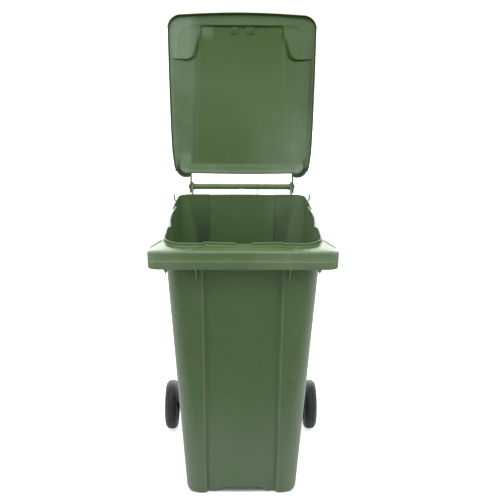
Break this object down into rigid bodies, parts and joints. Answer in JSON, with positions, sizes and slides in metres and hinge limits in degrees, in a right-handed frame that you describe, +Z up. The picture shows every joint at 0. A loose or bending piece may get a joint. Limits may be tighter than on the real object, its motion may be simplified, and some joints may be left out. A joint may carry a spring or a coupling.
{
  "type": "wheeled waste bin",
  "caption": "Tapered plastic waste bin with a comb rim and collar, a hinged lid standing open on a rear handle bar, and rubber wheels on a steel axle.",
  "frame": {"origin": "on the ground, midway across the overall width and depth of the bin with its lid open", "axes": "+Z up, front comb faces -Y, +X to the right seen from the front"},
  "size_m": [0.616, 0.9419, 1.6412],
  "materials": {
    "body_plastic": "satin moulded polyethylene",
    "lid_plastic": "satin moulded polyethylene",
    "black_plastic": "fine matt grain",
    "tyre_rubber": "solid rubber",
    "axle_steel": "zinc plated"
  },
  "bodies": {
    "body": {"tub_shell": "body_plastic", "rim_frame": "body_plastic", "comb_webs": "body_plastic", "lid_guides": "body_plastic", "handle_bar": "body_plastic", "axle_housing": "body_plastic", "hinge_pin_left": "black_plastic", "hinge_pin_right": "black_plastic"},
    "lid": {"lid_shell": "lid_plastic", "lid_ribs": "lid_plastic", "lid_hinge_left": "lid_plastic", "lid_hinge_right": "lid_plastic"},
    "axle": {"axle": "axle_steel"},
    "wheel_left": {"wheel_hub_left": "black_plastic", "tyre_left": "tyre_rubber", "hub_cap_left": "black_plastic", "latch_pin_left": "axle_steel"},
    "wheel_right": {"wheel_hub_right": "black_plastic", "tyre_right": "tyre_rubber", "hub_cap_right": "black_plastic", "latch_pin_right": "axle_steel"}
  },
  "joints": [
    {"name": "lid_hinge", "type": "hinge", "parent": "body", "child": "lid", "pos_m": [0, 0.2275, 1], "axis": [1, 0, 0], "range_deg": [0, 109.5]},
    {"name": "axle_spin", "type": "hinge", "parent": "body", "child": "axle", "pos_m": [0, 0.1135, 0.1], "axis": [1, 0, 0], "continuous": true},
    {"name": "wheel_left_spin", "type": "hinge", "parent": "axle", "child": "wheel_left", "pos_m": [-0.283, 0.1135, 0.1], "axis": [1, 0, 0], "continuous": true},
    {"name": "wheel_right_spin", "type": "hinge", "parent": "axle", "child": "wheel_right", "pos_m": [0.283, 0.1135, 0.1], "axis": [1, 0, 0], "continuous": true}
  ]
}
